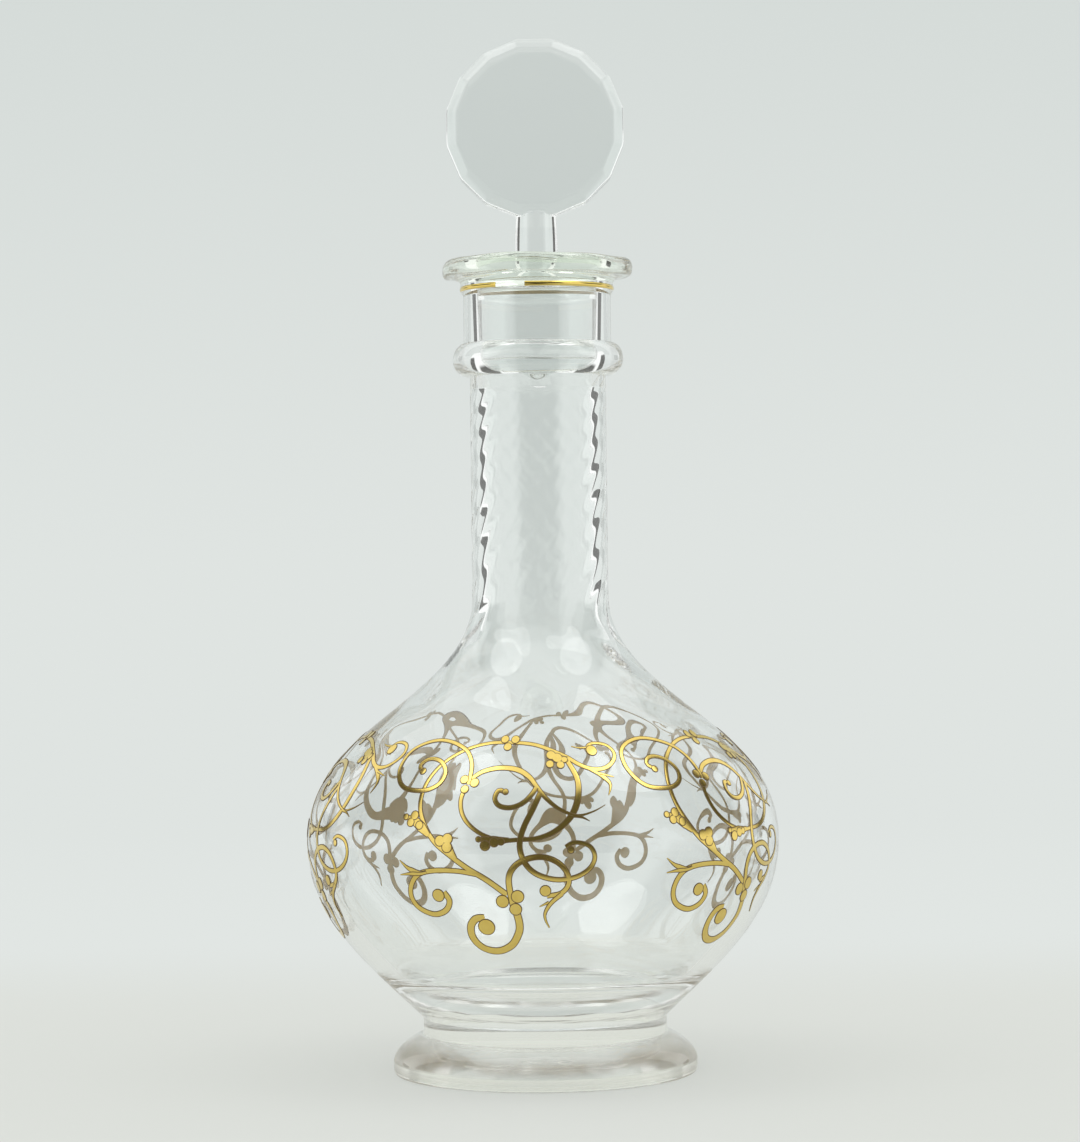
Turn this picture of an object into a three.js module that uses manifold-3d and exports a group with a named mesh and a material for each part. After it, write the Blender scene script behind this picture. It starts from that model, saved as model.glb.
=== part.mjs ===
// A blown crystal carafe: bulb with a twisted, ribbed neck, applied foot, neck ring and lip,
// fired gilt scrollwork, and a solid stopper with a cut disc for a finial.
// Millimetres, +Z up. The foot stands on z = 0, and the front scroll faces -Y.

import * as THREE from "three";
import { TessellateModifier } from "three/addons/modifiers/TessellateModifier.js";
import { mergeVertices } from "three/addons/utils/BufferGeometryUtils.js";
import Module from "manifold-3d";

// Foot: a pad of clear glass pressed on under the bulb
const FOOT_RADIUS = 44.2;
const FOOT_EDGE = 0.8;
const FOOT_RIM_HEIGHT = 3.6;
const FOOT_HEIGHT = 11.2;
const FOOT_LEDGE = 0.4;
const FOOT_CROWN = 5.6;
const PONTIL_RADIUS = 26;
const PONTIL_DEPTH = 1.6;

// Bulb, from the waist above the foot to the shoulder
const WAIST_RADIUS = 35.4;
const WAIST_HEIGHT = 4.8;
const FLARE_RUN = 17.2;
const FLARE_RISE = 16.7;
const BULB_RADIUS = 68.5;
const BULB_LOWER_HEIGHT = 51.3;
const BULB_LOWER_PULL = 22;
const BULB_UPPER_PULL = 16;
const SHOULDER_RADIUS = 45;
const SHOULDER_HEIGHT = 36.4;
const SHOULDER_SLOPE = 38;
const SHOULDER_SWEEP = 16.5;
const BULB_WALL = 4.6;
const SHOULDER_WALL = 2.2;
const FLOOR_THICKNESS = 14;
const FLOOR_ROUND = 5;

// Neck, with ribs that wind up it
const NECK_BORE_RADIUS = 15.6;
const NECK_WALL = 4.2;
const NECK_SWEEP_HEIGHT = 34;
const NECK_SWEEP = 14;
const NECK_LENGTH = 64;
const RIB_COUNT = 18;
const RIB_DEPTH = 0.7;
const RIB_TWIST = 165;
const RIB_FADE = 15;
const RIB_FADE_TOP = 5;

// Collar, the ground socket for the stopper
const COLLAR_WALL = 3.5;
const COLLAR_HEIGHT = 26.8;
const COLLAR_FLARE = 0.7;
const COLLAR_FLARE_DROP = 3.2;
const COLLAR_BAND_HEIGHT = 2.2;
const RING_HEIGHT = 9.6;
const RING_WIDTH = 3.3;
const LIP_HEIGHT = 6.9;
const LIP_OVERHANG = 6;
const LIP_RIM_RADIUS = 2.6;
const LIP_RIM_START = -70;
const MOUTH_FLARE = 2;

// Stopper: tapered plug, stem and cut disc, all one piece of glass
const PLUG_TOP_RADIUS = 17.7;
const PLUG_BOTTOM_RADIUS = 16.5;
const PLUG_LENGTH = 28;
const PLUG_TIP = 4.5;
const PLUG_EDGE = 1.2;
const PLUG_DEPTH_IN_MOUTH = 5;
const STEM_RADIUS = 6.4;
const STEM_LENGTH = 17.5;
const STEM_FILLET = 3.4;
const DISC_RADIUS = 26.2;
const DISC_THICKNESS = 14;
const DISC_FACETS = 16;
const DISC_BEVEL_WIDTH = 3.2;
const DISC_BEVEL_DEPTH = 2.4;

// Gilding: scroll motifs on the bulb and a line under the lip
const GILT_THICKNESS = 0.4;
const GILT_LINE_WIDTH = 1;
const GILT_LINE_DROP = 1.6;
const MOTIF_START = -43;
const MOTIF_SECTORS = [64.8, 64.2, 55.6, 55.6, 55.6, 64.2];
const MOTIF_GAP = 0.8;
const MOTIF_UNITS_PER_RADIUS = 68.5;
const TREFOIL_LOBES = 3;
const TREFOIL_NOTCH = 1.2;
const TREFOIL_LOBE_ANGLE = 40;

// Clearances between gathers, round the plug and under the gilding
const SEAM = 0.3;
const PLUG_CLEARANCE = 0.3;
const GILT_SEAT = 0.3;

// Facets
const LINES_PER_RIB = 2;
const BODY_SEGMENTS = RIB_COUNT * LINES_PER_RIB;
const CAVITY_SEGMENTS = 26;
const FOOT_SEGMENTS = 30;
const ROUND_SEGMENTS = 24;
const NECK_STEPS = 9;
const CURVE_STEPS = 5;
const GILT_LONGEST_EDGE = 11;
const GILT_SPLIT_PASSES = 12;

// Heights and radii that follow from the sizes above
const bodyBase = FOOT_HEIGHT + SEAM;
const waistTop = bodyBase + WAIST_HEIGHT;
const widest = waistTop + BULB_LOWER_HEIGHT;
const shoulder = widest + SHOULDER_HEIGHT;
const neckBottom = shoulder + NECK_SWEEP_HEIGHT;
const ringBottom = neckBottom + NECK_LENGTH;
const bodyTop = ringBottom + COLLAR_HEIGHT;
const lipBottom = bodyTop + SEAM;
const lipTop = lipBottom + LIP_HEIGHT;
const plugTop = lipTop - PLUG_DEPTH_IN_MOUTH;
const plugBottom = plugTop - PLUG_LENGTH;
const discBottom = plugTop + STEM_LENGTH;
const neckRadius = NECK_BORE_RADIUS + NECK_WALL;
const plugSlope = (PLUG_TOP_RADIUS - PLUG_BOTTOM_RADIUS) / PLUG_LENGTH;
const socketTopRadius = PLUG_TOP_RADIUS + PLUG_CLEARANCE;
const socketBottomRadius = PLUG_BOTTOM_RADIUS + PLUG_CLEARANCE;
const mouthRadius = socketBottomRadius + plugSlope * (lipTop - plugBottom);
const collarRadius = socketTopRadius + COLLAR_WALL;
const collarTopRadius = collarRadius + COLLAR_FLARE;
const motifUnit = BULB_RADIUS / MOTIF_UNITS_PER_RADIUS;

// Scroll motif, read off the bulb: units round its widest girth, and units up its side from there
const MOTIF_STROKES = [
  // Round scroll at the upper left, from its bud out to the second trefoil
  { bud: 2.4, width: [1.5, 1.5], path: [[-39.3, 25], [-41.6, 26.8], [-37.6, 29.5], [-31.4, 25.4],
    [-34.3, 19.4], [-41, 18.8], [-47.4, 22], [-50, 28.8], [-46.2, 34.5], [-38.8, 36.5],
    [-29.5, 34.4], [-24.2, 30.2], [-22.2, 22]] },
  // Main vine, from the bud at the upper right over the top and down to the third trefoil
  { bud: 3.6, width: [1.4, 1.6], path: [[17.9, 32.2], [16.4, 34.1], [20.8, 35.2], [25, 32.6], [22, 26.6],
    [13.8, 26.5], [5.8, 31.6], [-3.5, 35.3], [-14.5, 36], [-25.5, 33.8], [-33, 28.4],
    [-37, 17], [-30.3, 4.1], [-18, -4.5], [-9.4, -10.6]] },
  // Loop from the second trefoil down, along and up to the vine
  { width: [1.3, 2], path: [[-22.8, 20.6], [-23.5, 14.5], [-20.6, 9.2], [-13.5, 5.4], [-4.5, 5], [2.8, 6.8],
    [8.6, 12], [11, 20], [8.4, 29.6]] },
  // Arch from the second trefoil over to a leaf point at the right
  { width: [1.6, 1.8, 0.4], path: [[-22, 22.2], [-14, 26.7], [-4.6, 24.2], [0.1, 18.2],
    [5, 13.5], [10.5, 11.6], [18.4, 14.4]] },
  // Small curl inside the arch
  { bud: 2, width: [1.5, 1.5], path: [[-10.4, 18.2], [-13.2, 18.4], [-12.6, 14.8], [-8.4, 13.9],
    [-4.2, 16.3], [-1.5, 20]] },
  // Stem from the arch down into the lower right loop
  { bud: 2.2, width: [1.4, 1.7], path: [[7.4, 2.2], [8.4, 4.3], [13.2, 3], [14.2, -1.2], [9.8, -5], [3, -5.8],
    [-3.6, -2.6], [-5.9, 5], [-0.2, 18.6]] },
  // Branch from its bud back to the third trefoil, and the leaf that hangs from it
  { bud: 3.2, width: [1.5, 1.9], path: [[0.8, -9.1], [4.6, -10], [7.2, -6.6], [5.5, -2.3], [0.2, 0.5],
    [-7.6, -2], [-8.6, -12]] },
  { width: [1.8, 1.4, 0.5], path: [[5.4, -9.8], [0.9, -14.8], [1.9, -20]] },
  // Heavy curl at the foot of the motif
  { bud: 4.6, width: [2.5, 2.3], path: [[-15.7, -19.8], [-18.4, -17.3], [-21.4, -20], [-20.6, -25],
    [-16, -28.2], [-10.2, -26.3], [-6.8, -20], [-7.8, -13.4]] },
  // Scroll at the lower left, with its pointed leaf
  { bud: 3.6, width: [1.8, 1.5], path: [[-29.7, -10.7], [-27.3, -10.6], [-27, -13.4], [-31, -16.2],
    [-36.6, -14.6], [-38.8, -9.3], [-35, -4.5], [-27, -3.3], [-18.5, -4.3]] },
  { width: [1.8, 0.5], path: [[-34, -4.2], [-41.6, -1.1]] },
  // Leaf below the curl at the right
  { width: [1, 1.8, 0.5], path: [[14.3, 26.2], [20.6, 21.8], [19.8, 17.2]] },
  // Leaves that grow from the vine and the loop
  { width: [2.6, 4, 1.6], path: [[-33.6, 9.4], [-36.8, 10], [-39.8, 9.6]] },
  { width: [2.4, 4, 1.6], path: [[-29, 3], [-27, 4.2], [-24.8, 5]] },
  { width: [4, 4, 1.6], path: [[6.4, 31], [4.8, 29.2], [4, 26.6]] },
  { width: [1.2, 3.4, 1.4], path: [[-10.5, 5], [-14, 4.2], [-17.6, 4.6]] },
];

// Trefoils of the motif: centre, reach of a lobe and the turn of the first lobe
const MOTIF_TREFOILS = [
  { centre: [-11.5, 36.1], reach: 3.4, turn: 30 },
  { centre: [-22.5, 21.2], reach: 3.1, turn: 20 },
  { centre: [-8.5, -12.2], reach: 3.9, turn: 45 },
];

const wasm = await Module();
wasm.setup();

// Joins vertices that coincide and drops the triangles that collapse at a pole.
function weld(geometry) {
  const bare = geometry.clone();
  bare.deleteAttribute("normal");
  bare.deleteAttribute("uv");
  const welded = mergeVertices(bare);
  const corners = welded.index.array;
  const kept = [];
  for (let i = 0; i < corners.length; i += 3) {
    const [a, b, c] = corners.slice(i, i + 3);
    if (a !== b && b !== c && c !== a) {
      kept.push(a, b, c);
    }
  }
  welded.setIndex(kept);
  return welded;
}

function toSolid(geometry) {
  const welded = weld(geometry);
  return new wasm.Manifold(new wasm.Mesh({
    numProp: 3,
    vertProperties: new Float32Array(welded.attributes.position.array),
    triVerts: new Uint32Array(welded.index.array),
  }));
}

function toGeometry(solid) {
  const mesh = solid.getMesh();
  const geometry = new THREE.BufferGeometry();
  geometry.setAttribute("position", new THREE.BufferAttribute(mesh.vertProperties, 3));
  geometry.setIndex(new THREE.BufferAttribute(mesh.triVerts, 1));
  geometry.computeVertexNormals();
  return geometry;
}

// Turns a profile of (radius, height) points round the Z axis.
function revolve(profile, segments) {
  return new THREE.LatheGeometry(profile, segments).rotateX(Math.PI / 2);
}

function point(radius, height) {
  return new THREE.Vector2(radius, height);
}

function bulge(start, pull, end) {
  return new THREE.QuadraticBezierCurve(start, pull, end).getPoints(CURVE_STEPS);
}

function radians(degrees) {
  return THREE.MathUtils.degToRad(degrees);
}

// Outside of the bulb in three sweeps: up to the widest girth, in to the shoulder, up to the neck
function bulbSweeps() {
  const slope = point(-Math.cos(radians(SHOULDER_SLOPE)), Math.sin(radians(SHOULDER_SLOPE)));
  const shoulderPoint = point(SHOULDER_RADIUS, shoulder);
  const lower = new THREE.CubicBezierCurve(
    point(WAIST_RADIUS, waistTop),
    point(WAIST_RADIUS + FLARE_RUN, waistTop + FLARE_RISE),
    point(BULB_RADIUS, widest - BULB_LOWER_PULL),
    point(BULB_RADIUS, widest),
  );
  const upper = new THREE.CubicBezierCurve(
    point(BULB_RADIUS, widest),
    point(BULB_RADIUS, widest + BULB_UPPER_PULL),
    shoulderPoint.clone().addScaledVector(slope, -SHOULDER_SWEEP),
    shoulderPoint,
  );
  const neckward = new THREE.CubicBezierCurve(
    shoulderPoint,
    shoulderPoint.clone().addScaledVector(slope, SHOULDER_SWEEP),
    point(neckRadius, neckBottom - NECK_SWEEP),
    point(neckRadius, neckBottom),
  );
  return { lower, upper, neckward };
}

const sweeps = bulbSweeps();

// Points of a sweep moved inwards, along its normals, by a wall that may change along it
function insetSweep(curve, wallAtStart, wallAtEnd) {
  const points = [];
  for (let step = 0; step <= CURVE_STEPS; step += 1) {
    const t = step / CURVE_STEPS;
    const tangent = curve.getTangent(t);
    const wall = THREE.MathUtils.lerp(wallAtStart, wallAtEnd, t);
    points.push(curve.getPoint(t).addScaledVector(point(-tangent.y, tangent.x), wall));
  }
  return points;
}

// Foot, with a shallow pontil hollow underneath
function footGeometry() {
  const topRadius = WAIST_RADIUS + FOOT_LEDGE;
  const rim = point(FOOT_RADIUS, FOOT_RIM_HEIGHT);
  const shoulderPull = point(FOOT_RADIUS, FOOT_RIM_HEIGHT + FOOT_CROWN);
  const profile = [
    ...bulge(point(0, PONTIL_DEPTH), point(PONTIL_RADIUS / 2, PONTIL_DEPTH), point(PONTIL_RADIUS, 0)),
    point(FOOT_RADIUS - FOOT_EDGE, 0),
    point(FOOT_RADIUS, FOOT_EDGE),
    ...bulge(rim, shoulderPull, point(topRadius, FOOT_HEIGHT)),
    point(0, FOOT_HEIGHT),
  ];
  return weld(revolve(profile, FOOT_SEGMENTS));
}

// How strongly the ribs stand at a height: none on the bulb or the collar, full along the neck
function ribStrength(height) {
  const fadeIn = THREE.MathUtils.smoothstep(height, neckBottom - RIB_FADE, neckBottom);
  const fadeOut = 1 - THREE.MathUtils.smoothstep(height, ringBottom - RIB_FADE_TOP, ringBottom);
  return fadeIn * fadeOut;
}

// Raises every other line of the neck into a rib and winds the ribs up it, right-handed.
function twistNeck(geometry) {
  const position = geometry.attributes.position;
  for (let i = 0; i < position.count; i += 1) {
    const height = position.getZ(i);
    const radius = Math.hypot(position.getX(i), position.getY(i));
    const angle = Math.atan2(position.getY(i), position.getX(i));
    const wind = THREE.MathUtils.clamp((height - neckBottom) / NECK_LENGTH, 0, 1);
    const turned = angle + radians(RIB_TWIST) * wind;
    const rib = RIB_DEPTH * ribStrength(height) * Math.cos(RIB_COUNT * angle);
    const ribbed = radius > 0 ? radius + rib : 0;
    position.setXY(i, ribbed * Math.cos(turned), ribbed * Math.sin(turned));
  }
  return geometry;
}

// Bulb, neck and collar: the blown body, hollow and open at the top
function bodyGeometry() {
  const neck = [];
  for (let step = 1; step <= NECK_STEPS; step += 1) {
    neck.push(point(neckRadius, neckBottom + NECK_LENGTH * (step / NECK_STEPS)));
  }
  const outside = [
    point(0, bodyBase),
    point(WAIST_RADIUS, bodyBase),
    ...sweeps.lower.getPoints(CURVE_STEPS),
    ...sweeps.upper.getPoints(CURVE_STEPS).slice(1),
    ...sweeps.neckward.getPoints(CURVE_STEPS).slice(1),
    ...neck,
    point(collarRadius, ringBottom + COLLAR_FLARE),
    point(collarRadius, bodyTop - COLLAR_FLARE_DROP),
    point(collarTopRadius, bodyTop - COLLAR_BAND_HEIGHT),
    point(collarTopRadius, bodyTop),
    point(0, bodyTop),
  ];
  const floor = bodyBase + FLOOR_THICKNESS;
  const wall = insetSweep(sweeps.lower, BULB_WALL, BULB_WALL).filter((p) => p.y > floor + FLOOR_ROUND);
  const inside = [
    ...bulge(point(0, floor), point(wall[0].x - FLOOR_ROUND, floor), wall[0]),
    ...wall.slice(1),
    ...insetSweep(sweeps.upper, BULB_WALL, SHOULDER_WALL).slice(1),
    ...insetSweep(sweeps.neckward, SHOULDER_WALL, NECK_WALL).slice(1),
    point(NECK_BORE_RADIUS, plugBottom - PLUG_TIP),
    point(socketBottomRadius, plugBottom),
    point(mouthRadius, lipTop),
    point(0, lipTop),
  ];
  const blown = toSolid(twistNeck(revolve(outside, BODY_SEGMENTS)));
  const cavity = toSolid(revolve(inside, CAVITY_SEGMENTS));
  return toGeometry(blown.subtract(cavity));
}

// Neck ring: a thick trail of glass round the bottom of the collar
function ringGeometry() {
  const inner = collarRadius + SEAM;
  const top = ringBottom + RING_HEIGHT;
  const middle = ringBottom + RING_HEIGHT / 2;
  const outer = collarRadius + RING_WIDTH;
  const seat = ringBottom + COLLAR_FLARE;
  const profile = [
    point(inner, seat),
    ...bulge(point(inner, seat), point(outer, seat), point(outer, middle)),
    ...bulge(point(outer, middle), point(outer, top), point(inner, top)).slice(1),
    point(inner, seat),
  ];
  return weld(revolve(profile, ROUND_SEGMENTS));
}

// Lip: a heavy rounded rim laid on the collar, with a flared mouth
function lipGeometry() {
  const rimCentre = point(collarTopRadius + LIP_OVERHANG - LIP_RIM_RADIUS, lipTop - LIP_RIM_RADIUS);
  const rim = new THREE.EllipseCurve(
    rimCentre.x, rimCentre.y, LIP_RIM_RADIUS, LIP_RIM_RADIUS, radians(LIP_RIM_START), Math.PI / 2);
  const profile = [
    point(mouthRadius, lipBottom),
    point(collarTopRadius, lipBottom),
    ...rim.getPoints(CURVE_STEPS),
    point(mouthRadius + MOUTH_FLARE, lipTop),
    point(mouthRadius, lipTop - MOUTH_FLARE),
    point(mouthRadius, lipBottom),
  ];
  return weld(revolve(profile, ROUND_SEGMENTS));
}

// Plug and stem turned as one, joined to the cut disc
function stopperGeometry() {
  const stemTop = discBottom + DISC_BEVEL_WIDTH;
  const plugEnd = point(PLUG_BOTTOM_RADIUS + plugSlope * PLUG_EDGE, plugBottom + PLUG_EDGE);
  const turned = [
    point(0, plugBottom - PLUG_TIP),
    ...bulge(
      point(PLUG_BOTTOM_RADIUS / 2, plugBottom - PLUG_TIP / 2),
      point(PLUG_BOTTOM_RADIUS, plugBottom),
      plugEnd,
    ),
    point(PLUG_TOP_RADIUS, plugTop - PLUG_EDGE),
    point(PLUG_TOP_RADIUS - PLUG_EDGE, plugTop),
    ...bulge(
      point(STEM_RADIUS + STEM_FILLET, plugTop),
      point(STEM_RADIUS, plugTop),
      point(STEM_RADIUS, plugTop + STEM_FILLET),
    ),
    point(STEM_RADIUS, stemTop),
    point(0, stemTop),
  ];
  const half = DISC_THICKNESS / 2;
  const cut = [
    point(0, -half),
    point(DISC_RADIUS - DISC_BEVEL_WIDTH, -half),
    point(DISC_RADIUS, -half + DISC_BEVEL_DEPTH),
    point(DISC_RADIUS, half - DISC_BEVEL_DEPTH),
    point(DISC_RADIUS - DISC_BEVEL_WIDTH, half),
    point(0, half),
  ];
  const apothem = DISC_RADIUS * Math.cos(Math.PI / DISC_FACETS);
  const disc = new THREE.LatheGeometry(cut, DISC_FACETS);
  disc.rotateY(Math.PI / DISC_FACETS);
  disc.translate(0, 0, discBottom + apothem);
  return toGeometry(toSolid(revolve(turned, ROUND_SEGMENTS)).add(toSolid(disc)));
}

// Point of the bulb's outside at a distance up its side from the widest girth, and the outward normal
function bulbSide(distance) {
  const curve = distance < 0 ? sweeps.lower : sweeps.upper;
  const length = curve.getLength();
  const share = distance < 0 ? 1 + distance / length : distance / length;
  const place = curve.getPointAt(share);
  const tangent = curve.getTangentAt(share);
  return { place, normal: point(tangent.y, -tangent.x) };
}

// Width of a stroke at a share of its length, from two or three widths along it
function strokeWidth(widths, share) {
  const last = widths.length - 1;
  const from = Math.min(Math.floor(share * last), last - 1);
  return THREE.MathUtils.lerp(widths[from], widths[from + 1], share * last - from);
}

// Flat outline of one stroke, drawn on the unrolled bulb
function strokeShape(stroke, place) {
  const points = stroke.path.map(place);
  const left = [];
  const right = [];
  points.forEach((here, i) => {
    const before = points[Math.max(i - 1, 0)];
    const after = points[Math.min(i + 1, points.length - 1)];
    const along = after.clone().sub(before).normalize();
    const swollen = i === 0 && stroke.bud;
    const width = swollen ? stroke.bud : strokeWidth(stroke.width, i / (points.length - 1));
    const across = point(-along.y, along.x).multiplyScalar(width * motifUnit / 2);
    left.push(here.clone().add(across));
    right.unshift(here.clone().sub(across));
  });
  return new THREE.Shape([...left, ...right]);
}

// Three-lobed outline: two corners for each lobe and one for each notch between lobes
function trefoilShape({ centre, reach, turn }, place) {
  const middle = place(centre);
  const corners = [];
  const lobeStep = 360 / TREFOIL_LOBES;
  for (let lobe = 0; lobe < TREFOIL_LOBES; lobe += 1) {
    const angle = turn + lobe * lobeStep;
    const outline = [
      [-TREFOIL_LOBE_ANGLE / 2, reach],
      [TREFOIL_LOBE_ANGLE / 2, reach],
      [lobeStep / 2, TREFOIL_NOTCH],
    ];
    for (const [offset, units] of outline) {
      const corner = radians(angle + offset);
      const radius = units * motifUnit;
      corners.push(middle.clone().add(point(radius * Math.cos(corner), radius * Math.sin(corner))));
    }
  }
  return new THREE.Shape(corners);
}

// Lays a flat piece of gilding on the bulb: x runs round it, y up its side, z out from the glass.
function wrapOnBulb(geometry) {
  const position = geometry.attributes.position;
  for (let i = 0; i < position.count; i += 1) {
    const { place, normal } = bulbSide(position.getY(i));
    const rise = GILT_SEAT + position.getZ(i);
    const radius = place.x + normal.x * rise;
    const angle = position.getX(i) / BULB_RADIUS;
    position.setXYZ(i, radius * Math.sin(angle), -radius * Math.cos(angle), place.y + normal.y * rise);
  }
  geometry.computeVertexNormals();
  return geometry;
}

// One scroll motif, stretched round the bulb to fill its sector, as a single plate of gilding
function scrollGeometry(startAngle, sectorAngle) {
  const reach = MOTIF_STROKES.flatMap((stroke) => {
    const half = Math.max(...stroke.width) / 2;
    return stroke.path.flatMap(([x]) => [x - half, x + half]);
  });
  const leftEnd = Math.min(...reach);
  const rightEnd = Math.max(...reach);
  const room = radians(sectorAngle) * BULB_RADIUS - MOTIF_GAP;
  const stretch = room / (rightEnd - leftEnd);
  const origin = radians(startAngle) * BULB_RADIUS + MOTIF_GAP / 2;
  const place = ([x, y]) => point(origin + (x - leftEnd) * stretch, y * motifUnit);
  const shapes = [
    ...MOTIF_STROKES.map((stroke) => strokeShape(stroke, place)),
    ...MOTIF_TREFOILS.map((trefoil) => trefoilShape(trefoil, place)),
  ];
  const plates = shapes.map((shape) => {
    return toSolid(new THREE.ExtrudeGeometry(shape, { depth: GILT_THICKNESS, bevelEnabled: false }));
  });
  const plate = plates.reduce((joined, next) => joined.add(next));
  const fine = new TessellateModifier(GILT_LONGEST_EDGE, GILT_SPLIT_PASSES).modify(toGeometry(plate));
  return wrapOnBulb(weld(fine));
}

// Gilt line on the band under the lip
function giltLineGeometry() {
  const inner = collarTopRadius + GILT_SEAT;
  const outer = inner + GILT_THICKNESS;
  const top = bodyTop - GILT_LINE_DROP + GILT_LINE_WIDTH / 2;
  const bottom = top - GILT_LINE_WIDTH;
  const profile = [
    point(inner, bottom),
    point(outer, bottom),
    point(outer, top),
    point(inner, top),
    point(inner, bottom),
  ];
  return weld(revolve(profile, ROUND_SEGMENTS));
}

function clearGlass() {
  return new THREE.MeshStandardMaterial({
    color: 0xdfe6e1,
    roughness: 0.03,
    transparent: true,
    opacity: 0.35,
  });
}

function greenishGlass() {
  return new THREE.MeshStandardMaterial({
    color: 0xc4d2bd,
    roughness: 0.03,
    transparent: true,
    opacity: 0.45,
  });
}

function gilding() {
  return new THREE.MeshStandardMaterial({ color: 0xd4af4b, roughness: 0.28, metalness: 1 });
}

function piece(name, geometry, material) {
  const mesh = new THREE.Mesh(geometry, material);
  mesh.name = name;
  return mesh;
}

const carafe = new THREE.Group();
carafe.add(piece("foot", footGeometry(), clearGlass()));
carafe.add(piece("carafe_body", bodyGeometry(), clearGlass()));
carafe.add(piece("neck_ring", ringGeometry(), clearGlass()));
carafe.add(piece("lip_rim", lipGeometry(), greenishGlass()));
carafe.add(piece("stopper", stopperGeometry(), clearGlass()));
carafe.add(piece("gilt_neck_line", giltLineGeometry(), gilding()));

let motifStart = MOTIF_START;
MOTIF_SECTORS.forEach((sector, i) => {
  carafe.add(piece(`gilt_scroll_${i + 1}`, scrollGeometry(motifStart, sector), gilding()));
  motifStart += sector;
});

export default carafe;
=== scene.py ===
"""A crystal carafe with gilt scrollwork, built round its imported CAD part. Metres, +Z up, front to -Y."""
import math
from bisect import bisect_left

import bmesh
import bpy
from mathutils import Matrix, Vector


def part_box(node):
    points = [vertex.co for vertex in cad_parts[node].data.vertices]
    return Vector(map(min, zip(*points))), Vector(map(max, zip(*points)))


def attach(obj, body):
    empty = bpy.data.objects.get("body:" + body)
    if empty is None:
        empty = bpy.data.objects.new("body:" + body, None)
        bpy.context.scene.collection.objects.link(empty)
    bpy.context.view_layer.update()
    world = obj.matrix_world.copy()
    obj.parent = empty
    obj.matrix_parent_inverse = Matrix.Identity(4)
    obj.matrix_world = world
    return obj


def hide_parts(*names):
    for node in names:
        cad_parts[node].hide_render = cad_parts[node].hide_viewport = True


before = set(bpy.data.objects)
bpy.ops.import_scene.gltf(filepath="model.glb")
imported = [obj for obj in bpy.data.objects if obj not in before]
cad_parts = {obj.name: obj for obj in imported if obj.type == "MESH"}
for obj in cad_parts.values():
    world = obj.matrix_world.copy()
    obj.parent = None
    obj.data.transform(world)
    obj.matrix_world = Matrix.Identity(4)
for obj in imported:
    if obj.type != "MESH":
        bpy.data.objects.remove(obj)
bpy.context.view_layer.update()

# Foot
# A thick pad of clear crystal, gathered hot and pressed flat under the bulb, with a lightly ground base.
# Its top is fused to the bulb, so the joint shows only as a narrow ledge round the waist.
mm = 0.001
foot_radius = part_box("foot")[1].y
foot_rim_height = 3.8 * mm
foot_edge_round = 1.3 * mm
foot_crown = 4.4 * mm
foot_crown_inset = 1 * mm
foot_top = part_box("carafe_body")[0].z
waist_radius = 35.4 * mm
ledge_width = 0.5 * mm
foot_top_radius = waist_radius + ledge_width
pontil_radius = 26 * mm
pontil_depth = 0.4 * mm
fused_gap = 0.01 * mm
straight_hold = 0.25 * mm
long_run = 2 * mm
merge_distance = 0.001 * mm
round_segments = 180
facing_down = -0.5
crystal_index = 1.52


def sweep(*corners, steps=8):
    """Points along the Bezier curve that these (radius, height) corners pull."""
    points = []
    for step in range(steps + 1):
        row = [Vector(corner) for corner in corners]
        while len(row) > 1:
            row = [start.lerp(end, step / steps) for start, end in zip(row, row[1:])]
        points.append(row[0])
    return points


def held(profile):
    """The profile with a point close to each end of its long runs, so that these shade straight."""
    points = [profile[0]]
    for start, end in zip(profile, profile[1:]):
        run = (end - start).length
        if run > long_run:
            points.append(start.lerp(end, straight_hold / run))
            points.append(end.lerp(start, straight_hold / run))
        points.append(end)
    return points


def turned(name, profile, segments=round_segments, shape=None):
    """A smooth piece made by turning a profile round the Z axis; shape may then move its vertices."""
    bm = bmesh.new()
    points = [bm.verts.new((radius, 0, height)) for radius, height in held(profile)]
    for start, end in zip(points, points[1:]):
        bm.edges.new((start, end))
    outline = bm.verts[:] + bm.edges[:]
    bmesh.ops.spin(bm, geom=outline, axis=(0, 0, 1), angle=math.tau, steps=segments, use_merge=True)
    bmesh.ops.remove_doubles(bm, verts=bm.verts, dist=merge_distance)
    if shape:
        for vertex in bm.verts:
            vertex.co = shape(vertex.co)
    return finished(name, bm)


def finished(name, bm, crease=35):
    """Turns a bmesh into an object with smooth faces and sharp edges past the crease angle."""
    bmesh.ops.recalc_face_normals(bm, faces=bm.faces)
    for face in bm.faces:
        face.smooth = True
    mesh = bpy.data.meshes.new(name)
    bm.to_mesh(mesh)
    bm.free()
    mesh.set_sharp_from_angle(angle=math.radians(crease))
    piece = bpy.data.objects.new(name, mesh)
    bpy.context.collection.objects.link(piece)
    return piece


def plain(name, colour, roughness, **settings):
    """A material of one Principled shader."""
    material = bpy.data.materials.new(name)
    material.use_nodes = True
    shader = material.node_tree.nodes["Principled BSDF"]
    shader.inputs["Base Color"].default_value = (*colour, 1)
    shader.inputs["Roughness"].default_value = roughness
    for socket, value in settings.items():
        shader.inputs[socket.replace("_", " ")].default_value = value
    return material


def fuse(piece, joint):
    """Gives the seam material to the faces whose middle (radius, height) lies on a fused joint."""
    piece.data.materials.append(fused_seam)
    for face in piece.data.polygons:
        if joint(math.hypot(face.center.x, face.center.y), face.center.z):
            face.material_index = 1


def belongs(piece, body, slot, *nodes):
    """Says which CAD body carries the piece and which nodes it stands for. The slot is not used."""
    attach(piece, body)
    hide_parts(*nodes)


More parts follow.
